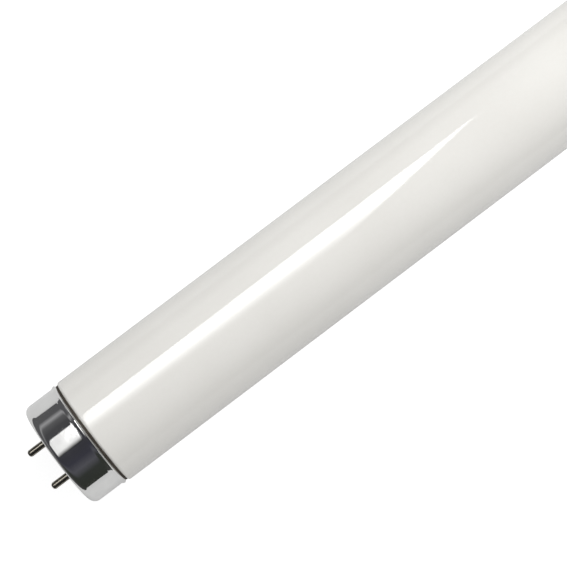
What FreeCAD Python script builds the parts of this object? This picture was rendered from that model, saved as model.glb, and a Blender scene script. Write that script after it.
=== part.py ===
import FreeCAD, Part
import math
import os

# Fluorescent tube: a sealed glass tube with a two-pin cap cemented on each end
# Millimetres. X runs along the tube, Z is up, the origin is on the axis at mid-length.
# Depth is measured from the outer face of an end's insulator, inwards along the axis.

# Whole lamp
FACE_TO_FACE = 589.2
TUBE_DIAMETER = 38.1
PIN_PITCH = 12.7

# Glass: a drawn tube, necked in at each end and closed by a stem that flares out to the neck
GLASS_WALL = 0.85
GLASS_INSET = 7.0
NECK_STEP = 1.65
SHOULDER_ANGLE = 51.5
SHOULDER_ROUNDING = 1.0
SHOULDER_GAP = 1.1
FLARE_DEPTH = 16.0
STEM_BORE = 11.0
STEM_DEPTH = 25.0
STEM_PLUG = 3.0

# Cap shell: drawn from thin aluminium sheet, its open edge rolled into a bead
CAP_WALL = 0.4
CAP_LENGTH = 12.8
CAP_CORNER = 2.6
CAP_INNER_BEVEL = 1.6
BEAD_WIDTH = 1.7
BEAD_SLOPE = 0.5
BEAD_RISE = 0.5

# Cement in the space between the neck and the shell
CEMENT_SPACE = 0.7
CEMENT_WIDTH = 4.1
CEMENT_SETBACK = 0.1
BOND_GAP = 0.01

# Insulator: a moulded disc inside the shell, with an island through a slot in its end
ISLAND_RISE = 0.1
ISLAND_WIDTH = 8.4
ISLAND_CLEARANCE = 0.05
DISC_THICKNESS = 2.6
DISC_EDGE_GAP = 0.3

# Contact pin: a hollow pin with a thicker root moulded into the insulator
PIN_LENGTH = 6.9
PIN_DIAMETER = 2.35
PIN_TIP_BEVEL = 0.5
PIN_TIP_WALL = 0.9
PIN_BORE = 1.5
PIN_ROOT_DIAMETER = 2.8
PIN_ROOT_CLEARANCE = 0.02
PIN_BACK_PROUD = 0.5

# Lead wire: straight from the plug of the stem into the bore of its pin
WIRE_DIAMETER = 0.6
WIRE_STEM_CLEARANCE = 0.4
WIRE_REACH_IN_BORE = 2.0

# Places that several pieces share
HALF_LENGTH = FACE_TO_FACE / 2
NECK_DIAMETER = TUBE_DIAMETER - 2 * NECK_STEP
CAP_DIAMETER = NECK_DIAMETER + 2 * (CEMENT_SPACE + CAP_WALL)
CAP_BORE_RADIUS = CAP_DIAMETER / 2 - CAP_WALL
CAP_FACE_DEPTH = ISLAND_RISE
CAP_OPEN_DEPTH = CAP_FACE_DEPTH + CAP_LENGTH
SHOULDER_DEPTH = CAP_OPEN_DEPTH + SHOULDER_GAP
NECK_END_DEPTH = SHOULDER_DEPTH - NECK_STEP / math.tan(math.radians(SHOULDER_ANGLE))
DISC_FRONT_DEPTH = CAP_FACE_DEPTH + CAP_WALL
DISC_BACK_DEPTH = DISC_FRONT_DEPTH + DISC_THICKNESS
PIN_BACK_DEPTH = DISC_BACK_DEPTH + PIN_BACK_PROUD
X_AXIS = FreeCAD.Vector(1, 0, 0)

# The two ends, each turned about Z into its place, and the two rows of pins along Y
SIDES = {"left": 0, "right": 180}
ROWS = {"front": -1, "rear": 1}


def profile_point(along, radius):
    """A point of a profile, in the plane that is turned about the X axis."""
    return FreeCAD.Vector(along, radius, 0)


def line(start, end):
    """A straight edge."""
    return Part.LineSegment(start, end).toShape()


def rounded_corner(before, corner, after, rounding):
    """The ends and the middle of the arc that rounds a corner of a profile."""
    to_before = (before - corner).normalize()
    to_after = (after - corner).normalize()
    half_angle = to_before.getAngle(to_after) / 2
    tangent = rounding / math.tan(half_angle)
    to_centre = (to_before + to_after).normalize()
    middle = corner + to_centre * (rounding / math.sin(half_angle) - rounding)
    return corner + to_before * tangent, middle, corner + to_after * tangent


def rounded_path(corners):
    """Edges through (along, radius, rounding) corners, with a tangent arc at each rounded corner."""
    points = [profile_point(along, radius) for along, radius, _ in corners]
    edges = []
    reached = points[0]
    for i in range(1, len(points) - 1):
        rounding = corners[i][2]
        if rounding > 0:
            arc = rounded_corner(points[i - 1], points[i], points[i + 1], rounding)
            edges.append(line(reached, arc[0]))
            edges.append(Part.Arc(*arc).toShape())
            reached = arc[2]
        else:
            edges.append(line(reached, points[i]))
            reached = points[i]
    edges.append(line(reached, points[-1]))
    return edges


def inside_of_wall(corners, wall):
    """Sharp corners of the same path, one wall thickness to the right of its direction of travel."""
    points = [profile_point(along, radius) for along, radius, _ in corners]
    headings = [(after - before).normalize() for before, after in zip(points, points[1:])]
    rights = [FreeCAD.Vector(heading.y, -heading.x, 0) for heading in headings]
    inside = []
    for i, point in enumerate(points):
        before = rights[max(i - 1, 0)]
        after = rights[min(i, len(rights) - 1)]
        moved = point + (before + after) * (wall / (1 + before.dot(after)))
        inside.append((moved.x, moved.y, 0))
    return inside


def turned(*paths):
    """The solid swept about the X axis by a profile of paths joined end to end by straight edges."""
    edges = []
    for path, next_path in zip(paths, paths[1:] + paths[:1]):
        edges += path
        edges.append(line(path[-1].lastVertex().Point, next_path[0].firstVertex().Point))
    profile = Part.Face(Part.Wire(edges))
    return profile.revolve(FreeCAD.Vector(0, 0, 0), X_AXIS, 360)


def rod(radius, from_depth, to_depth, across=0.0):
    """A round rod along X, set off from the axis along Y."""
    return Part.makeCylinder(radius, to_depth - from_depth, FreeCAD.Vector(from_depth, across, 0), X_AXIS)


def racetrack(pitch, end_radius, from_depth, to_depth):
    """A bar with round ends, which are centred pitch apart along Y."""
    corner = FreeCAD.Vector(from_depth, -pitch / 2, -end_radius)
    bar = Part.makeBox(to_depth - from_depth, pitch, 2 * end_radius, corner)
    for across in (-pitch / 2, pitch / 2):
        bar = bar.fuse(rod(end_radius, from_depth, to_depth, across))
    return bar.removeSplitter()


def place_end(shape, turn):
    """Move a piece that was built in depths to its end of the lamp."""
    placed = shape.copy()
    placed.translate(FreeCAD.Vector(-HALF_LENGTH, 0, 0))
    placed.rotate(FreeCAD.Vector(0, 0, 0), FreeCAD.Vector(0, 0, 1), turn)
    return placed


def both_ends(shape):
    """A pair of like pieces, one at each end of the lamp."""
    return Part.makeCompound([place_end(shape, turn) for turn in SIDES.values()])


def glass_end():
    """Corners of one end of the glass, from the stem's plug out to the tube's full diameter."""
    neck_radius = NECK_DIAMETER / 2
    tube_radius = TUBE_DIAMETER / 2
    stem_radius = STEM_BORE / 2
    return [
        (STEM_DEPTH, stem_radius, 0),
        (FLARE_DEPTH, stem_radius, 0),
        (GLASS_INSET, neck_radius, 0),
        (NECK_END_DEPTH, neck_radius, 0),
        (SHOULDER_DEPTH, tube_radius, SHOULDER_ROUNDING),
    ]


def stem_plug():
    """The pinched end of a stem, on whose face the lead wires end."""
    return rod(STEM_BORE / 2 + GLASS_WALL, STEM_DEPTH, STEM_DEPTH + STEM_PLUG)


def glass_tube():
    """The whole sealed envelope, one piece of glass from stem to stem."""
    left = [(depth - HALF_LENGTH, radius, rounding) for depth, radius, rounding in glass_end()]
    right = [(-along, radius, rounding) for along, radius, rounding in reversed(left)]
    outside = left + right
    inside = inside_of_wall(outside, GLASS_WALL)
    envelope = turned(rounded_path(outside), rounded_path(inside[::-1]))
    plugs = [place_end(stem_plug(), turn) for turn in SIDES.values()]
    return envelope.fuse(plugs).removeSplitter()


def cap_shell():
    """A drawn cup: round-cornered end with a slot in it, straight side, bead at the open edge."""
    cap_radius = CAP_DIAMETER / 2
    cup = turned(rounded_path([
        (CAP_FACE_DEPTH, 0, 0),
        (CAP_FACE_DEPTH, cap_radius, CAP_CORNER),
        (CAP_OPEN_DEPTH - BEAD_WIDTH, cap_radius, 0),
        (CAP_OPEN_DEPTH - BEAD_WIDTH + BEAD_SLOPE, cap_radius + BEAD_RISE, 0),
        (CAP_OPEN_DEPTH - BEAD_SLOPE, cap_radius + BEAD_RISE, 0),
        (CAP_OPEN_DEPTH, CAP_BORE_RADIUS, 0),
        (DISC_FRONT_DEPTH + CAP_INNER_BEVEL, CAP_BORE_RADIUS, 0),
        (DISC_FRONT_DEPTH, CAP_BORE_RADIUS - CAP_INNER_BEVEL, 0),
        (DISC_FRONT_DEPTH, 0, 0),
    ]))
    slot_radius = ISLAND_WIDTH / 2 + ISLAND_CLEARANCE
    return cup.cut(racetrack(PIN_PITCH, slot_radius, CAP_FACE_DEPTH, DISC_FRONT_DEPTH))


def cement_ring():
    """The ring of basing cement that bonds the shell to the neck, up to the foot of the shoulder."""
    back_depth = NECK_END_DEPTH - CEMENT_SETBACK
    front_depth = back_depth - CEMENT_WIDTH
    ring = rod(CAP_BORE_RADIUS - BOND_GAP, front_depth, back_depth)
    return ring.cut(rod(NECK_DIAMETER / 2 + BOND_GAP, front_depth, back_depth))


def insulator():
    """The disc behind the shell's end, its island standing proud of the shell, and two pin holes."""
    disc_radius = CAP_DIAMETER / 2 - CAP_CORNER - DISC_EDGE_GAP
    disc = rod(disc_radius, DISC_FRONT_DEPTH, DISC_BACK_DEPTH)
    body = disc.fuse(racetrack(PIN_PITCH, ISLAND_WIDTH / 2, 0, DISC_FRONT_DEPTH))
    hole_radius = PIN_ROOT_DIAMETER / 2 + PIN_ROOT_CLEARANCE
    for row in ROWS.values():
        body = body.cut(rod(hole_radius, 0, DISC_BACK_DEPTH, row * PIN_PITCH / 2))
    return body.removeSplitter()


def contact_pin(row):
    """A hollow pin: bevelled closed tip outside, thicker root through the insulator."""
    pin_radius = PIN_DIAMETER / 2
    root_radius = PIN_ROOT_DIAMETER / 2
    bore_radius = PIN_BORE / 2
    bore_end = PIN_TIP_WALL - PIN_LENGTH
    pin = turned(rounded_path([
        (-PIN_LENGTH, 0, 0),
        (-PIN_LENGTH, pin_radius - PIN_TIP_BEVEL, 0),
        (-PIN_LENGTH + PIN_TIP_BEVEL, pin_radius, 0),
        (0, pin_radius, 0),
        (0, root_radius, 0),
        (PIN_BACK_DEPTH, root_radius, 0),
        (PIN_BACK_DEPTH, bore_radius, 0),
        (bore_end, bore_radius, 0),
        (bore_end, 0, 0),
    ]))
    pin.translate(FreeCAD.Vector(0, row * PIN_PITCH / 2, 0))
    return pin


def lead_wire(row):
    """A straight wire from the bore of its pin, past the mouth of the stem, to the plug's face."""
    wire_radius = WIRE_DIAMETER / 2
    mouth_across = STEM_BORE / 2 - WIRE_STEM_CLEARANCE - wire_radius
    pin_end = FreeCAD.Vector(PIN_BACK_DEPTH - WIRE_REACH_IN_BORE, row * PIN_PITCH / 2, 0)
    stem_mouth = FreeCAD.Vector(FLARE_DEPTH, row * mouth_across, 0)
    direction = stem_mouth - pin_end
    past_plug_face = direction.Length * (STEM_DEPTH + WIRE_DIAMETER - pin_end.x) / direction.x
    wire = Part.makeCylinder(wire_radius, past_plug_face, pin_end, direction)
    return wire.cut(stem_plug())


def build_nodes():
    """Every piece in its place, by the name of its node."""
    nodes = {
        "glass_tube": glass_tube(),
        "cap_shells": both_ends(cap_shell()),
        "cement_rings": both_ends(cement_ring()),
        "insulators": both_ends(insulator()),
    }
    for side, turn in SIDES.items():
        for row_name, row in ROWS.items():
            row_before_turn = row if turn == 0 else -row
            nodes[f"contact_pin_{side}_{row_name}"] = place_end(contact_pin(row_before_turn), turn)
            nodes[f"lead_wire_{side}_{row_name}"] = place_end(lead_wire(row_before_turn), turn)
    return nodes


os.makedirs("parts", exist_ok=True)
for name, shape in build_nodes().items():
    shape.exportStep(f"parts/{name}.step")
    print(name, len(shape.Solids), "solids", round(shape.Volume, 2), "mm3", shape.isValid())
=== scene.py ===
import math

import bmesh
import bpy
from mathutils import Matrix, Vector, noise


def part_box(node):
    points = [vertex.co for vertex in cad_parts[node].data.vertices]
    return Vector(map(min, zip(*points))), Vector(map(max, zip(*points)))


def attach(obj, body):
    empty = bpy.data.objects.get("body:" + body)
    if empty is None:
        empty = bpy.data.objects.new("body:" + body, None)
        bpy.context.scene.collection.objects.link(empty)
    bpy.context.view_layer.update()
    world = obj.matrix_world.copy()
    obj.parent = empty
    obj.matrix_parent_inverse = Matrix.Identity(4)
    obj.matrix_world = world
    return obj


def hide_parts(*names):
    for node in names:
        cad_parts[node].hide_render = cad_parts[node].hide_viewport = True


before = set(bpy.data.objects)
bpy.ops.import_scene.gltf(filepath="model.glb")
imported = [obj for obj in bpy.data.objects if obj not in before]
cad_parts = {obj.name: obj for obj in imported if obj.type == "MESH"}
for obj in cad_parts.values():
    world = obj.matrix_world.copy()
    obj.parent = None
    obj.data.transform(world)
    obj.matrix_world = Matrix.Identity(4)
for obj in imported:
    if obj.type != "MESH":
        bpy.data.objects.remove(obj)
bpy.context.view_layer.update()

# Fluorescent tube: the looks of a sealed glass tube with a two-pin cap on each end
# Sizes are in millimetres, as the part's source has them, and become metres when a mesh is made.
# Depth is measured from the outer face of an end's insulator, inwards along the axis.
MM = 0.001
DIGITS = 4


def in_mm(length):
    """A length of the frame in millimetres, without the noise in its last digits."""
    return round(length / MM, DIGITS)


# Sizes that the boxes of the CAD nodes give; the rear pin's middle is half a pitch from the axis
HALF_LENGTH = in_mm(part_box("insulators")[1][0])
TUBE_RADIUS = in_mm(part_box("glass_tube")[1][1])
BEAD_RADIUS = in_mm(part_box("cap_shells")[1][1])
CAP_FACE = HALF_LENGTH - in_mm(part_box("cap_shells")[1][0])
DISC_RADIUS = in_mm(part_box("insulators")[1][2])
PIN_LOW, PIN_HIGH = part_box("contact_pin_left_rear")
PIN_PITCH = in_mm(PIN_LOW[1] + PIN_HIGH[1])
PIN_LENGTH = in_mm(-PIN_LOW[0]) - HALF_LENGTH
PIN_BACK = HALF_LENGTH + in_mm(PIN_HIGH[0])

# Fineness of the meshes; a hair keeps two points of a path apart
SEGMENTS = 192
PIN_SEGMENTS = 64
ARC_STEP = math.radians(5.0)
FEWEST_ARC_STEPS = 3
CLOSE_RING = 0.12
LONG_RUN = 4 * CLOSE_RING
BARREL_SPACING = 4.0
SIDE_SPACING = 0.5
PIN_SPACING = 1.0
HAIR = 0.001
SHARP_ANGLE = math.radians(32.0)

# Waviness; the waves are stretched along the axis
WAVE_STRETCH = 3.0
GLASS_WAVE = 0.012
GLASS_WAVE_LENGTH = 26.0
SHELL_WAVE = 0.005
SHELL_WAVE_LENGTH = 5.0

# Glass; the coat begins to thin at one depth and is gone at the other
NECK_RADIUS = 17.4
NECK_END = 7.0
NECK_CORNER = 13.08
NECK_FILLET = 0.3
SHOULDER_DEPTH = 13.88
SHOULDER_ROUNDING = 0.9
RIM_ROUNDING = 0.9
FLARE_DEPTH = 16.0
FLARE_ROUNDING = 5.0
STEM_RADIUS = 5.5
STEM_DEPTH = 25.0
STEM_ROUNDING = 0.8
COAT_THINS = 13.85
COAT_GONE = 13.55
# bare glass where the coat is gone, painted dark grey as painted shade of the groove between cap and glass
BARE_GLASS_SHADE_COLOUR = (0.3, 0.285, 0.26, 1.0)

# Insulator; shares say how far out the rings of a flat face lie
ISLAND_END_RADIUS = 4.2
ISLAND_EDGE = 0.3
ISLAND_EDGE_STEPS = 5
ISLAND_SHARES = (0.3, 0.6, 0.85)
DISC_EDGE = 0.3
DISC_SHARES = (0.0, 0.3, 0.7, 1.0)
DISC_BACK = 3.1
PIN_HOLE_RADIUS = 1.42
HOLE_OVERRUN = 1.0

# Cap shell: its end with the slot for the island, whose edge goes in steps of (inwards, outwards)
CAP_RADIUS = 18.5
CAP_WALL = 0.4
CAP_INSIDE_RADIUS = CAP_RADIUS - CAP_WALL
CAP_FACE_BACK = CAP_FACE + CAP_WALL
CAP_CORNER = 2.6
CAP_FLAT_RADIUS = CAP_RADIUS - CAP_CORNER
CAP_FACE_SHARES = (0.15, 0.4, 0.7, 1.0)
ISLAND_CLEARANCE = 0.05
SLOT_END_RADIUS = ISLAND_END_RADIUS + ISLAND_CLEARANCE
SLOT_EDGE = 0.12
SLOT_EDGE_STEPS = ((SLOT_EDGE, 0.0), (0.03, 0.04), (0.0, SLOT_EDGE))
INSIDE_FLAT_INSET = 0.5
INSIDE_FLAT_RADIUS = CAP_FLAT_RADIUS - INSIDE_FLAT_INSET
INSIDE_FACE_SHARES = (0.5, 0.0)

# Cap shell: its bead, with lengths back from the open edge, and the groove before it
CAP_OPEN = 12.9
GROOVE_START = 10.7
GROOVE_WIDTH = 0.3
GROOVE_DEPTH = 0.1
GROOVE_EDGE_ROUNDING = 0.1
GROOVE_ROUNDING = 0.12
CREST_START = 0.85
CREST_START_ROUNDING = 0.34
CREST_END = 0.65
CREST_END_ROUNDING = 0.26
BEAD_FALL = 0.65
OPEN_EDGE_ROUNDING = 0.12
LIP_ROUNDING = 0.08
LIP_LENGTH = 1.0
INSIDE_START = 3.0

# Cement
CEMENT_FRONT = 8.5
CEMENT_RISE = 0.1
CEMENT_SWELL = 0.28
CEMENT_FRONT_ROUNDING = 0.12
CEMENT_BACK_ROUNDING = 0.08
CEMENT_UNEVEN = 0.2
CEMENT_LUMP_LENGTH = 2.2
BOND_GAP = 0.01

# Contact pin
PIN_RADIUS = 1.175
PIN_TIP_ROUNDING = 0.95
PIN_TIP_WALL = 0.9
PIN_ROOT_RADIUS = 1.4
PIN_ROOT_SLOPE = 0.12
PIN_ROOT_ROUNDING = 0.08
PIN_BORE_RADIUS = 0.75

# The two ends, each with the turn about Z that brings it to its place, and the two rows of pins
SIDES = {"left": 0.0, "right": math.pi}
ROWS = ("front", "rear")


def arc_points(centre, start, turn, steps):
    """Points of an arc about a centre, from a start point, through a turn."""
    points = []
    for i in range(steps + 1):
        angle = turn * i / steps
        across = Vector((start.x - centre.x, start.y - centre.y))
        across.rotate(Matrix.Rotation(angle, 2))
        points.append(centre + across)
    return points


def rounded(corners):
    """Points (depth, radius) of a path through (depth, radius, rounding) corners."""
    places = [Vector(corner[:2]) for corner in corners]
    points = [places[0]]
    for i in range(1, len(places) - 1):
        rounding = corners[i][2]
        if rounding == 0:
            points.append(places[i])
            continue
        to_before = (places[i - 1] - places[i]).normalized()
        to_after = (places[i + 1] - places[i]).normalized()
        half = to_before.angle(to_after) / 2
        middle = (to_before + to_after).normalized()
        centre = places[i] + middle * (rounding / math.sin(half))
        start = places[i] + to_before * (rounding / math.tan(half))
        turn = math.pi - 2 * half
        side = to_before.x * to_after.y - to_before.y * to_after.x
        steps = max(FEWEST_ARC_STEPS, math.ceil(turn / ARC_STEP))
        points += arc_points(centre, start, turn if side < 0 else -turn, steps)
    points.append(places[-1])
    return [(point.x, point.y) for point in points]


def divided(points, spacing):
    """The same path with its long runs divided, and a point close to both ends of each of them."""
    result = [points[0]]
    for (x0, r0), (x1, r1) in zip(points, points[1:]):
        run = math.hypot(x1 - x0, r1 - r0)
        count = max(1, math.ceil(run / spacing))
        shares = [i / count for i in range(1, count + 1)]
        if run > LONG_RUN:
            shares = sorted(shares + [CLOSE_RING / run, 1 - CLOSE_RING / run])
        result += [(x0 + (x1 - x0) * share, r0 + (r1 - r0) * share) for share in shares]
    return result


def ring(depth, radius, segments=SEGMENTS):
    """A ring of points about the axis, or one point on it. The radius may change with the angle."""
    if radius == 0:
        return [Vector((depth, 0, 0))]
    points = []
    for i in range(segments):
        angle = math.tau * i / segments
        reach = radius(angle) if callable(radius) else radius
        points.append(Vector((depth, reach * math.cos(angle), reach * math.sin(angle))))
    return points


def rings_of(profile, segments=SEGMENTS):
    """A ring for each (depth, radius) of a profile."""
    return [ring(depth, radius, segments) for depth, radius in profile]


def racetrack(end_radius):
    """The radius of a racetrack outline by angle; its round ends are a pin pitch apart along Y."""
    half_pitch = PIN_PITCH / 2

    def reach(angle):
        along, across = abs(math.cos(angle)), abs(math.sin(angle))
        if along * end_radius <= half_pitch * across:
            return end_radius / across
        return half_pitch * along + math.sqrt(end_radius ** 2 - (half_pitch * across) ** 2)
    return reach


def between(inner, outer, share):
    """A radius by angle that lies part of the way from an inner outline to an outer circle."""
    return lambda angle: inner(angle) + (outer - inner(angle)) * share


def wavy(rings, height, wave_length):
    """Move the rings' points a little towards or from the axis, as drawn material is never quite even."""
    for points in rings:
        for point in points:
            across = Vector((0, point.y, point.z))
            if across.length > 0:
                place = Vector((point.x / WAVE_STRETCH, point.y, point.z)) / wave_length
                point += across.normalized() * (height * noise.noise(place))
    return rings


def join_rings(form, first, second):
    """Faces between two rings of vertices, of which one may be a single point."""
    count = max(len(first), len(second))
    for i in range(count):
        j = (i + 1) % count
        corners = []
        for vertex in (first[i % len(first)], first[j % len(first)],
                       second[j % len(second)], second[i % len(second)]):
            if vertex not in corners:
                corners.append(vertex)
        form.faces.new(corners)


def lofted(name, rings, loop=False):
    """An object whose surface runs from ring to ring, and back to the first one if it is a loop."""
    form = bmesh.new()
    made = [[form.verts.new(point * MM) for point in points] for points in rings]
    for first, second in zip(made, made[1:] + (made[:1] if loop else [])):
        join_rings(form, first, second)
    bmesh.ops.recalc_face_normals(form, faces=form.faces)
    mesh = bpy.data.meshes.new(name)
    form.to_mesh(mesh)
    form.free()
    piece = bpy.data.objects.new(name, mesh)
    bpy.context.scene.collection.objects.link(piece)
    return piece


def finish_piece(piece, material, slot, *nodes):
    """Smooth shading with crisp edges, the material, and the piece's place in the frame."""
    mesh = piece.data
    mesh.polygons.foreach_set("use_smooth", [True] * len(mesh.polygons))
    mesh.set_sharp_from_angle(angle=SHARP_ANGLE)
    mesh.materials.clear()
    mesh.materials.append(material)
    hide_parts(*nodes)
    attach(piece, "root")


def place_end(piece, turn):
    """Move a piece that was built in depths to its end of the lamp."""
    move = Matrix.Translation((-HALF_LENGTH * MM, 0, 0))
    piece.data.transform(Matrix.Rotation(turn, 4, "Z") @ move)


def add_node(tree, kind, inputs=None, **settings):
    """A node with its settings; inputs are plain values or the outputs of other nodes."""
    node = tree.nodes.new(kind)
    for name, value in settings.items():
        setattr(node, name, value)
    for socket, value in (inputs or {}).items():
        if isinstance(value, bpy.types.NodeSocket):
            tree.links.new(value, node.inputs[socket])
        else:
            node.inputs[socket].default_value = value
    return node


def object_place(tree):
    """The place on the object, in metres."""
    return add_node(tree, "ShaderNodeTexCoord").outputs["Object"]


def math_node(tree, operation, first, second=0.0):
    """The result of one operation on one or two values."""
    return add_node(tree, "ShaderNodeMath", {0: first, 1: second}, operation=operation).outputs[0]


def blend(tree, first, second, share):
    """A blend of two values; the share is the first one's."""
    return math_node(tree, "ADD", math_node(tree, "MULTIPLY", first, share),
                     math_node(tree, "MULTIPLY", second, 1.0 - share))


def mix_node(tree, share, first, second):
    """A colour that goes from the first to the second with the share."""
    return add_node(tree, "ShaderNodeMix", {0: share, 6: first, 7: second}, data_type="RGBA").outputs[2]


def noise_node(tree, vector, scale, detail=3.0, roughness=0.5):
    """The grey output of a noise texture."""
    values = {"Vector": vector, "Scale": scale, "Detail": detail, "Roughness": roughness}
    return add_node(tree, "ShaderNodeTexNoise", values).outputs[0]


def spread(tree, value, given, wanted=(0.0, 1.0)):
    """A value moved from a given range to a wanted one and kept within it."""
    values = {0: value, 1: given[0], 2: given[1], 3: wanted[0], 4: wanted[1]}
    return add_node(tree, "ShaderNodeMapRange", values).outputs[0]


def ramp_node(tree, value, stops):
    """A colour by value; stops are (place, colour)."""
    node = add_node(tree, "ShaderNodeValToRGB", {0: value})
    elements = node.color_ramp.elements
    while len(elements) < len(stops):
        elements.new(1.0)
    for element, (place, colour) in zip(elements, stops):
        element.position = place
        element.color = (*colour, 1.0)
    return node.outputs[0]


def bump_node(tree, height, distance, before=None):
    """The normal of a surface raised by a height of 0 to 1 times a distance."""
    values = {"Height": height, "Distance": distance * MM, "Strength": 1.0}
    if before is not None:
        values["Normal"] = before
    return add_node(tree, "ShaderNodeBump", values).outputs[0]


def ray_kinds(tree):
    """Whether a ray comes from the camera, and whether it was mirrored or passed through something."""
    rays = add_node(tree, "ShaderNodeLightPath").outputs
    mirrored = math_node(tree, "MAXIMUM", rays["Is Glossy Ray"], rays["Is Transmission Ray"])
    return rays["Is Camera Ray"], mirrored


def start_material(name, metallic=0.0):
    """A material with one shader."""
    material = bpy.data.materials.new(name)
    material.use_nodes = True
    tree = material.node_tree
    shader = tree.nodes["Principled BSDF"]
    shader.inputs["Metallic"].default_value = metallic
    return material, tree, shader


def end_material(tree, shader, colour, roughness, normal):
    """Join what changes over the surface to the shader."""
    tree.links.new(colour, shader.inputs["Base Color"])
    tree.links.new(roughness, shader.inputs["Roughness"])
    tree.links.new(normal, shader.inputs["Normal"])


def turned_place(tree, place, along_scale, around_scale):
    """A place for marks that run round the axis, on a side and on an end face alike."""
    parts = add_node(tree, "ShaderNodeSeparateXYZ", {0: place}).outputs
    across = add_node(tree, "ShaderNodeCombineXYZ", {1: parts[1], 2: parts[2]}).outputs[0]
    radius = add_node(tree, "ShaderNodeVectorMath", {0: across}, operation="LENGTH").outputs["Value"]
    facing = add_node(tree, "ShaderNodeVectorMath", {0: across}, operation="NORMALIZE").outputs[0]
    sides = add_node(tree, "ShaderNodeSeparateXYZ", {0: facing}).outputs
    along = math_node(tree, "MULTIPLY", math_node(tree, "ADD", parts[0], radius), along_scale)
    values = {0: along}
    for i in (1, 2):
        values[i] = math_node(tree, "MULTIPLY", sides[i], around_scale)
    return add_node(tree, "ShaderNodeCombineXYZ", values).outputs[0]


def drawn_place(tree, place, share):
    """A place for marks that run along the axis, in which lengths along it are cut to a share."""
    values = {0: place, 1: (share, 1.0, 1.0)}
    return add_node(tree, "ShaderNodeVectorMath", values, operation="MULTIPLY").outputs[0]


def coated_glass():
    """Clear glossy glass over a matt, faintly mottled warm white coat, which stops short of the cap, where
    the bare glass is painted dark grey as painted shade of the groove.
    """
    material, tree, shader = start_material("coated_glass")
    place = object_place(tree)
    cloud = noise_node(tree, place, scale=38.0, detail=4.0)
    grain = noise_node(tree, place, scale=900.0, detail=2.0)
    mottle = blend(tree, cloud, grain, share=0.75)
    coat = ramp_node(tree, mottle, [(0.3, (0.795, 0.782, 0.745)), (0.7, (0.835, 0.822, 0.787))])
    along = add_node(tree, "ShaderNodeSeparateXYZ", {0: place}).outputs[0]
    from_middle = math_node(tree, "ABSOLUTE", along)
    coat_end = ((HALF_LENGTH - COAT_THINS) * MM, (HALF_LENGTH - COAT_GONE) * MM)
    # where the coat is gone the glass takes a dark grey, painted shade of the groove by the cap
    colour = mix_node(tree, spread(tree, from_middle, coat_end), coat, BARE_GLASS_SHADE_COLOUR)
    film = noise_node(tree, place, scale=70.0, detail=5.0, roughness=0.6)
    roughness = spread(tree, film, given=(0.35, 0.7), wanted=(0.03, 0.07))
    wave = noise_node(tree, place, scale=130.0, detail=2.0)
    normal = bump_node(tree, wave, distance=0.004)
    end_material(tree, shader, colour, roughness, normal)
    return material


def polished_aluminium():
    """Bright drawn sheet with faint marks round the axis, and duller smudges."""
    material, tree, shader = start_material("polished_aluminium", metallic=1.0)
    place = object_place(tree)
    marks = noise_node(tree, turned_place(tree, place, along_scale=3200.0, around_scale=2.2), scale=1.0)
    smudge = noise_node(tree, place, scale=210.0, detail=4.0)
    colour = ramp_node(tree, smudge, [(0.3, (0.74, 0.74, 0.735)), (0.7, (0.8, 0.8, 0.79))])
    dull = blend(tree, marks, smudge, share=0.35)
    roughness = spread(tree, dull, given=(0.3, 0.7), wanted=(0.035, 0.09))
    wave = noise_node(tree, place, scale=160.0, detail=2.0)
    normal = bump_node(tree, marks, distance=0.0012, before=bump_node(tree, wave, distance=0.02))
    end_material(tree, shader, colour, roughness, normal)
    return material


def basing_cement():
    """Matt brown cement with dark and pale grains, its brown darkened further as painted shade for the gap
    between cap and glass.
    """
    material, tree, shader = start_material("basing_cement")
    place = object_place(tree)
    grain = noise_node(tree, place, scale=1400.0, detail=5.0, roughness=0.65)
    patch = noise_node(tree, place, scale=160.0, detail=2.0)
    mixed = blend(tree, grain, patch, share=0.6)
    # the cement's own brown, darkened further as painted shade for the gap between cap and glass
    colour = ramp_node(tree, mixed, [(0.3, (0.04, 0.032, 0.024)), (0.55, (0.08, 0.064, 0.048)),
                                     (0.75, (0.14, 0.115, 0.09))])
    roughness = spread(tree, grain, given=(0.3, 0.7), wanted=(0.75, 0.95))
    normal = bump_node(tree, grain, distance=0.12)
    end_material(tree, shader, colour, roughness, normal)
    return material


def moulded_resin():
    """Dark brown resin, half matt, with a faint mottle from its filler."""
    material, tree, shader = start_material("moulded_resin")
    place = object_place(tree)
    filler = noise_node(tree, place, scale=1100.0, detail=4.0, roughness=0.6)
    flow = noise_node(tree, place, scale=260.0, detail=2.0)
    mixed = math_node(tree, "MULTIPLY", filler, flow)
    colour = ramp_node(tree, mixed, [(0.12, (0.035, 0.025, 0.02)), (0.45, (0.085, 0.06, 0.045))])
    roughness = spread(tree, filler, given=(0.3, 0.7), wanted=(0.32, 0.5))
    normal = bump_node(tree, filler, distance=0.01)
    end_material(tree, shader, colour, roughness, normal)
    return material


def pin_metal():
    """Dull plated brass, with darker tarnish and marks along the pin."""
    material, tree, shader = start_material("pin_brass", metallic=1.0)
    place = object_place(tree)
    drawn = noise_node(tree, drawn_place(tree, place, share=0.12), scale=5200.0)
    tarnish = noise_node(tree, place, scale=620.0, detail=4.0, roughness=0.6)
    colour = ramp_node(tree, tarnish, [(0.35, (0.15, 0.138, 0.115)), (0.65, (0.3, 0.28, 0.235))])
    mixed = blend(tree, drawn, tarnish, share=0.4)
    roughness = spread(tree, mixed, given=(0.3, 0.7), wanted=(0.24, 0.12))
    normal = bump_node(tree, drawn, distance=0.003)
    end_material(tree, shader, colour, roughness, normal)
    return material


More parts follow.
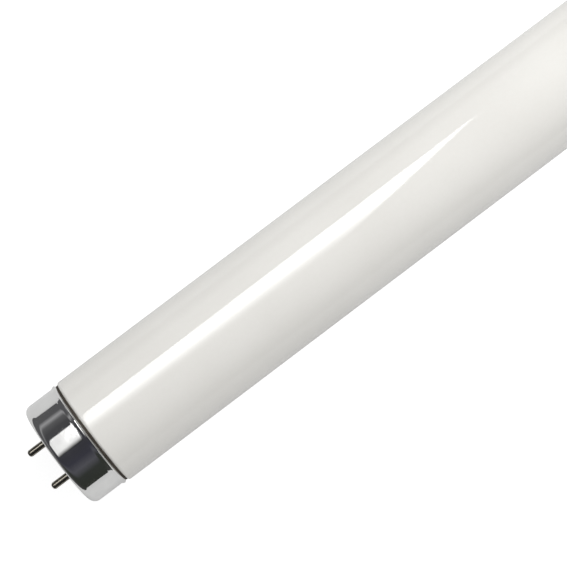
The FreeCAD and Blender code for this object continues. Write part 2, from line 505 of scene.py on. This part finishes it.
def lead_metal():
    """Bare drawn wire."""
    material, tree, shader = start_material("lead_metal", metallic=1.0)
    place = object_place(tree)
    drawn = noise_node(tree, drawn_place(tree, place, share=0.1), scale=9000.0)
    colour = ramp_node(tree, drawn, [(0.3, (0.44, 0.3, 0.2)), (0.7, (0.6, 0.45, 0.32))])
    roughness = spread(tree, drawn, given=(0.3, 0.7), wanted=(0.3, 0.45))
    normal = bump_node(tree, drawn, distance=0.002)
    end_material(tree, shader, colour, roughness, normal)
    return material


def make_glass(material):
    """The sealed glass from stem to stem: plug, flare, rim, neck, shoulder and barrel."""
    left = [
        (STEM_DEPTH, 0, 0),
        (STEM_DEPTH, STEM_RADIUS, STEM_ROUNDING),
        (FLARE_DEPTH, STEM_RADIUS, FLARE_ROUNDING),
        (NECK_END, NECK_RADIUS, RIM_ROUNDING),
        (NECK_CORNER, NECK_RADIUS, NECK_FILLET),
        (SHOULDER_DEPTH, TUBE_RADIUS, SHOULDER_ROUNDING),
        (HALF_LENGTH, TUBE_RADIUS, 0),
    ]
    half = [(depth - HALF_LENGTH, radius) for depth, radius in divided(rounded(left), BARREL_SPACING)]
    whole = half + [(-along, radius) for along, radius in reversed(half[:-1])]
    glass = lofted("glass", wavy(rings_of(whole), GLASS_WAVE, GLASS_WAVE_LENGTH))
    finish_piece(glass, material, "coated_glass", "glass_tube")


def make_cap_shell(side, turn, material):
    """A drawn cup: slotted end, round corner, straight side, rolled bead and thin wall."""
    slot = racetrack(SLOT_END_RADIUS)
    slot_edge = racetrack(SLOT_END_RADIUS + SLOT_EDGE)
    face = [ring(CAP_FACE + inwards, racetrack(SLOT_END_RADIUS + outwards))
            for inwards, outwards in SLOT_EDGE_STEPS]
    face += [ring(CAP_FACE, between(slot_edge, CAP_FLAT_RADIUS, share)) for share in CAP_FACE_SHARES]
    outside = divided(rounded([
        (CAP_FACE, CAP_FLAT_RADIUS - HAIR, 0),
        (CAP_FACE, CAP_RADIUS, CAP_CORNER - 2 * HAIR),
        (GROOVE_START, CAP_RADIUS, GROOVE_EDGE_ROUNDING),
        (GROOVE_START + GROOVE_WIDTH, CAP_RADIUS - GROOVE_DEPTH, GROOVE_ROUNDING),
        (CAP_OPEN - CREST_START, BEAD_RADIUS, CREST_START_ROUNDING),
        (CAP_OPEN - CREST_END, BEAD_RADIUS, CREST_END_ROUNDING),
        (CAP_OPEN, BEAD_RADIUS - BEAD_FALL, OPEN_EDGE_ROUNDING),
        (CAP_OPEN, CAP_INSIDE_RADIUS, LIP_ROUNDING),
        (CAP_OPEN - LIP_LENGTH, CAP_INSIDE_RADIUS, 0),
    ]), SIDE_SPACING)
    # the first point only gives the round corner its direction
    side_rings = wavy(rings_of(outside[1:]), SHELL_WAVE, SHELL_WAVE_LENGTH)
    inside = rings_of(rounded([
        (CAP_OPEN - INSIDE_START, CAP_INSIDE_RADIUS, 0),
        (CAP_FACE_BACK, CAP_INSIDE_RADIUS, CAP_CORNER - CAP_WALL),
        (CAP_FACE_BACK, INSIDE_FLAT_RADIUS, 0),
    ]))
    inside += [ring(CAP_FACE_BACK, between(slot, INSIDE_FLAT_RADIUS, share)) for share in INSIDE_FACE_SHARES]
    shell = lofted(f"cap_shell_{side}", face + side_rings + inside, loop=True)
    place_end(shell, turn)
    finish_piece(shell, material, "polished_aluminium", "cap_shells")


def make_cement(side, turn, material):
    """A ring of cement between shell and neck, squeezed out unevenly into the groove behind the bead, where
    its dark colour is partly painted shade of the groove.
    """
    inner_radius = NECK_RADIUS + BOND_GAP
    outer_radius = CAP_INSIDE_RADIUS - BOND_GAP
    swell_radius = outer_radius + CEMENT_SWELL
    shoulder_slope = (SHOULDER_DEPTH - NECK_CORNER) / (TUBE_RADIUS - NECK_RADIUS)
    swell_back = NECK_CORNER + (swell_radius - NECK_RADIUS) * shoulder_slope
    rings = rings_of(divided(rounded([
        (CEMENT_FRONT, inner_radius, 0),
        (CEMENT_FRONT, outer_radius, 0),
        (CAP_OPEN + BOND_GAP, outer_radius, 0),
        (CAP_OPEN + CEMENT_RISE, swell_radius, CEMENT_FRONT_ROUNDING),
        (swell_back, swell_radius, CEMENT_BACK_ROUNDING),
        (NECK_CORNER, inner_radius, 0),
    ]), SIDE_SPACING))
    for points in rings:
        for point in points:
            across = Vector((0, point.y, point.z))
            raised = max(0.0, across.length - outer_radius) / CEMENT_SWELL
            lump = noise.noise(Vector((turn, point.y / CEMENT_LUMP_LENGTH, point.z / CEMENT_LUMP_LENGTH)))
            point += across.normalized() * (CEMENT_UNEVEN * lump * raised)
    cement = lofted(f"cement_{side}", rings, loop=True)
    place_end(cement, turn)
    finish_piece(cement, material, "basing_cement", "cement_rings")


def insulator_rings():
    """The rings of a disc with a round-edged island, from the island's middle to the disc's back."""
    top_radius = ISLAND_END_RADIUS - ISLAND_EDGE
    top = racetrack(top_radius)
    rings = [ring(0, 0)]
    rings += [ring(0, lambda angle, share=share: top(angle) * share) for share in ISLAND_SHARES]
    for i in range(ISLAND_EDGE_STEPS + 1):
        angle = math.pi / 2 * i / ISLAND_EDGE_STEPS
        reach = top_radius + ISLAND_EDGE * math.sin(angle)
        rings.append(ring(ISLAND_EDGE * (1 - math.cos(angle)), racetrack(reach)))
    foot = racetrack(ISLAND_END_RADIUS)
    flat_radius = DISC_RADIUS - DISC_EDGE
    rings += [ring(CAP_FACE_BACK, between(foot, flat_radius, share)) for share in DISC_SHARES]
    rings += rings_of([
        (CAP_FACE_BACK + DISC_EDGE, DISC_RADIUS),
        (DISC_BACK - DISC_EDGE, DISC_RADIUS),
        (DISC_BACK, flat_radius),
        (DISC_BACK, DISC_RADIUS / 2),
        (DISC_BACK, 0),
    ])
    return rings


def cut_pin_holes(insulator):
    """Cut a hole for each pin right through the insulator."""
    hole = [
        (-HOLE_OVERRUN, 0),
        (-HOLE_OVERRUN, PIN_HOLE_RADIUS),
        (DISC_BACK + HOLE_OVERRUN, PIN_HOLE_RADIUS),
        (DISC_BACK + HOLE_OVERRUN, 0),
    ]
    cutters = []
    for across in (-PIN_PITCH / 2, PIN_PITCH / 2):
        cutter = lofted("pin_hole", rings_of(hole, PIN_SEGMENTS))
        cutter.data.transform(Matrix.Translation((0, across * MM, 0)))
        cut = insulator.modifiers.new("pin_hole", "BOOLEAN")
        cut.operation = "DIFFERENCE"
        cut.solver = "EXACT"
        cut.object = cutter
        cutters.append(cutter)
    evaluated = insulator.evaluated_get(bpy.context.evaluated_depsgraph_get())
    mesh = bpy.data.meshes.new_from_object(evaluated)
    insulator.modifiers.clear()
    insulator.data = mesh
    for cutter in cutters:
        bpy.data.objects.remove(cutter)


def make_insulator(side, turn, material):
    """A disc with a round-edged island, and a hole for each pin."""
    insulator = lofted(f"insulator_{side}", insulator_rings())
    cut_pin_holes(insulator)
    place_end(insulator, turn)
    finish_piece(insulator, material, "moulded_resin", "insulators")


def make_pin(side, turn, row, material):
    """A hollow pin with a domed tip and a thicker root."""
    node = f"contact_pin_{side}_{row}"
    low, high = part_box(node)
    across = (low[1] + high[1]) / 2
    bore_end = PIN_TIP_WALL - PIN_LENGTH
    profile = divided(rounded([
        (-PIN_LENGTH, 0, 0),
        (-PIN_LENGTH, PIN_RADIUS, PIN_TIP_ROUNDING),
        (-PIN_ROOT_SLOPE, PIN_RADIUS, PIN_ROOT_ROUNDING),
        (0.0, PIN_ROOT_RADIUS, 0),
        (PIN_BACK, PIN_ROOT_RADIUS, 0),
        (PIN_BACK, PIN_BORE_RADIUS, 0),
        (bore_end, PIN_BORE_RADIUS, 0),
        (bore_end, 0, 0),
    ]), PIN_SPACING)
    pin = lofted(f"pin_{side}_{row}", rings_of(profile, PIN_SEGMENTS))
    place_end(pin, turn)
    pin.data.transform(Matrix.Translation((0, across, 0)))
    finish_piece(pin, material, "pin_brass", node)


def dress_lead_wire(side, row, material):
    """A lead wire keeps its CAD form and takes the wire's material."""
    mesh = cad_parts[f"lead_wire_{side}_{row}"].data
    mesh.materials.clear()
    mesh.materials.append(material)


def make_pieces():
    """Every piece of the lamp, at both ends."""
    glass, aluminium, cement = coated_glass(), polished_aluminium(), basing_cement()
    resin, brass, wire = moulded_resin(), pin_metal(), lead_metal()
    make_glass(glass)
    for side, turn in SIDES.items():
        make_cap_shell(side, turn, aluminium)
        make_cement(side, turn, cement)
        make_insulator(side, turn, resin)
        for row in ROWS:
            make_pin(side, turn, row, brass)
            dress_lead_wire(side, row, wire)


# Camera: nearly straight down on the left end, with the tube running up to the right
CAMERA_DISTANCE = 0.65
CAMERA_LENS = 129.9
CAMERA_SENSOR_WIDTH = 36.0
CAMERA_TARGET = Vector((-0.2048, 0.001, 0.0))
LEAN_TO_CAP = math.radians(3.5)
LEAN_TO_FRONT = math.radians(7.0)
TUBE_ANGLE = math.radians(37.0)


def make_camera():
    """The camera at the photo's angle."""
    backward = Vector((-math.sin(LEAN_TO_CAP), -math.sin(LEAN_TO_FRONT), 0))
    backward.z = math.sqrt(1 - backward.length_squared)
    along = Vector((1, 0, 0))
    along = (along - backward * along.dot(backward)).normalized()
    right = Matrix.Rotation(-TUBE_ANGLE, 3, backward) @ along
    up = backward.cross(right)
    data = bpy.data.cameras.new("camera")
    data.sensor_fit = "HORIZONTAL"
    data.sensor_width = CAMERA_SENSOR_WIDTH
    data.lens = CAMERA_LENS
    camera = bpy.data.objects.new("camera", data)
    camera.matrix_world = Matrix.LocRotScale(
        CAMERA_TARGET + backward * CAMERA_DISTANCE, Matrix((right, up, backward)).transposed(), None)
    bpy.context.scene.collection.objects.link(camera)
    bpy.context.scene.camera = camera


# Light: a white sheet under the lamp, soft lights over its rear side, and a dim studio around
# Places are in metres. The sheet has one glow for the camera and one for its reflections.
WHITE = (1.0, 1.0, 1.0, 1.0)
SHEET_LEVEL = -TUBE_RADIUS * MM
SHEET_LEFT, SHEET_RIGHT = -0.345, 3.0
SHEET_FRONT, SHEET_REAR = -0.31, 1.6
SHEET_COLOUR = (0.6, 0.6, 0.6, 1.0)
SHEET_ROUGHNESS = 0.9
SHEET_SEEN = 0.75
SHEET_MIRRORED = 0.18
SOFT_LIGHT_HEIGHT = 1.0
SOFT_LIGHT_JOIN = -0.34
WIDE_FRONT = -0.15
WIDE_CORNERS = [(SOFT_LIGHT_JOIN, WIDE_FRONT), (-0.118, WIDE_FRONT), (0.1, 0.72), (SOFT_LIGHT_JOIN, 0.58)]
WIDE_FADE = (WIDE_FRONT, 0.21)
WIDE_FADE_POWER = 2.2
WIDE_STRENGTH = 7.8
STRIP_END = -1.5
STRIP_FRONT, STRIP_REAR = -0.14, 0.57
STRIP_FADE = (STRIP_FRONT, 0.01)
STRIP_FADE_POWER = 1.0
STRIP_STRENGTH = 1.0
KEY_PLACE = Vector((0.38, 0.08, 0.55))
KEY_AIM = Vector((0.0, 0.0, 0.0))
KEY_SIZE = 0.8
KEY_POWER = 5.9
SKY_COLOUR = (0.52, 0.52, 0.52, 1.0)

# The studio round the lamp's axis, by share of a turn: front, under it, rear, over it, and front again
STUDIO_STOPS = [
    (0.0, (0.034, 0.038, 0.032)),
    (0.1, (0.06, 0.06, 0.06)),
    (0.2, (0.15, 0.15, 0.15)),
    (0.3, (0.15, 0.15, 0.15)),
    (0.45, (0.105, 0.105, 0.11)),
    (0.548, (0.105, 0.105, 0.11)),
    (0.57, (0.36, 0.36, 0.37)),
    (0.592, (0.12, 0.12, 0.125)),
    (0.63, (0.07, 0.07, 0.075)),
    (0.8, (0.045, 0.045, 0.055)),
    (0.84, (0.045, 0.045, 0.06)),
    (0.89, (0.09, 0.09, 0.105)),
    (0.935, (0.038, 0.042, 0.038)),
    (1.0, (0.034, 0.038, 0.032)),
]


def rectangle(left, right, front, rear):
    """The corners of a flat rectangle."""
    return [(left, front), (right, front), (right, rear), (left, rear)]


def flat_shape(name, corners, height, material):
    """A flat stage object."""
    mesh = bpy.data.meshes.new(name)
    mesh.from_pydata([(x, y, height) for x, y in corners], [], [range(len(corners))])
    mesh.materials.append(material)
    shape = bpy.data.objects.new(name, mesh)
    bpy.context.scene.collection.objects.link(shape)
    return shape


def make_floor():
    """A white sheet that the camera sees as pure white where no shadow lies."""
    material, tree, shader = start_material("floor")
    shader.inputs["Base Color"].default_value = SHEET_COLOUR
    shader.inputs["Roughness"].default_value = SHEET_ROUGHNESS
    shader.inputs["Specular IOR Level"].default_value = 0.0
    shader.inputs["Emission Color"].default_value = WHITE
    seen, mirrored = ray_kinds(tree)
    glow = math_node(tree, "ADD", math_node(tree, "MULTIPLY", seen, SHEET_SEEN),
                     math_node(tree, "MULTIPLY", mirrored, SHEET_MIRRORED))
    tree.links.new(glow, shader.inputs["Emission Strength"])
    material.cycles.emission_sampling = "NONE"
    corners = rectangle(SHEET_LEFT, SHEET_RIGHT, SHEET_FRONT, SHEET_REAR)
    flat_shape("floor", corners, SHEET_LEVEL, material)


def make_soft_light(name, corners, fade_range, fade_power, strength):
    """A flat soft light overhead that shows as a highlight; its front edge fades out."""
    material = bpy.data.materials.new(name)
    material.use_nodes = True
    tree = material.node_tree
    tree.nodes.clear()
    across = add_node(tree, "ShaderNodeSeparateXYZ", {0: object_place(tree)}).outputs[1]
    fade = math_node(tree, "POWER", spread(tree, across, fade_range), fade_power)
    level = math_node(tree, "MULTIPLY", fade, strength)
    light = add_node(tree, "ShaderNodeEmission", {"Strength": level})
    add_node(tree, "ShaderNodeOutputMaterial", {"Surface": light.outputs[0]})
    soft_light = flat_shape(name, corners, SOFT_LIGHT_HEIGHT, material)
    soft_light.visible_camera = False
    soft_light.visible_diffuse = False


def make_key():
    """The lamp that lights the white coat and the floor, from over the right half, a little to the rear."""
    data = bpy.data.lights.new("key", "AREA")
    data.shape = "SQUARE"
    data.size = KEY_SIZE
    data.energy = KEY_POWER
    key = bpy.data.objects.new("key", data)
    key.location = KEY_PLACE
    key.rotation_mode = "QUATERNION"
    key.rotation_quaternion = (KEY_PLACE - KEY_AIM).to_track_quat("Z", "Y")
    key.visible_camera = False
    key.visible_glossy = False
    bpy.context.scene.collection.objects.link(key)


def make_world():
    """White behind the object, a dim studio in its reflections, and an even light from all sides."""
    world = bpy.data.worlds.new("studio")
    world.use_nodes = True
    tree = world.node_tree
    heading = add_node(tree, "ShaderNodeTexCoord").outputs["Generated"]
    parts = add_node(tree, "ShaderNodeSeparateXYZ", {0: heading}).outputs
    around = math_node(tree, "ARCTAN2", parts[2], parts[1])
    studio = ramp_node(tree, spread(tree, around, (-math.pi, math.pi)), STUDIO_STOPS)
    seen, mirrored = ray_kinds(tree)
    lit = mix_node(tree, mirrored, SKY_COLOUR, studio)
    colour = mix_node(tree, seen, lit, WHITE)
    tree.links.new(colour, tree.nodes["Background"].inputs["Color"])
    bpy.context.scene.world = world


make_pieces()
make_camera()
make_floor()
make_soft_light("wide_light", WIDE_CORNERS, WIDE_FADE, WIDE_FADE_POWER, WIDE_STRENGTH)
strip_corners = rectangle(STRIP_END, SOFT_LIGHT_JOIN, STRIP_FRONT, STRIP_REAR)
make_soft_light("strip_light", strip_corners, STRIP_FADE, STRIP_FADE_POWER, STRIP_STRENGTH)
make_key()
make_world()
bpy.context.scene.view_settings.view_transform = "Standard"
bpy.context.view_layer.update()
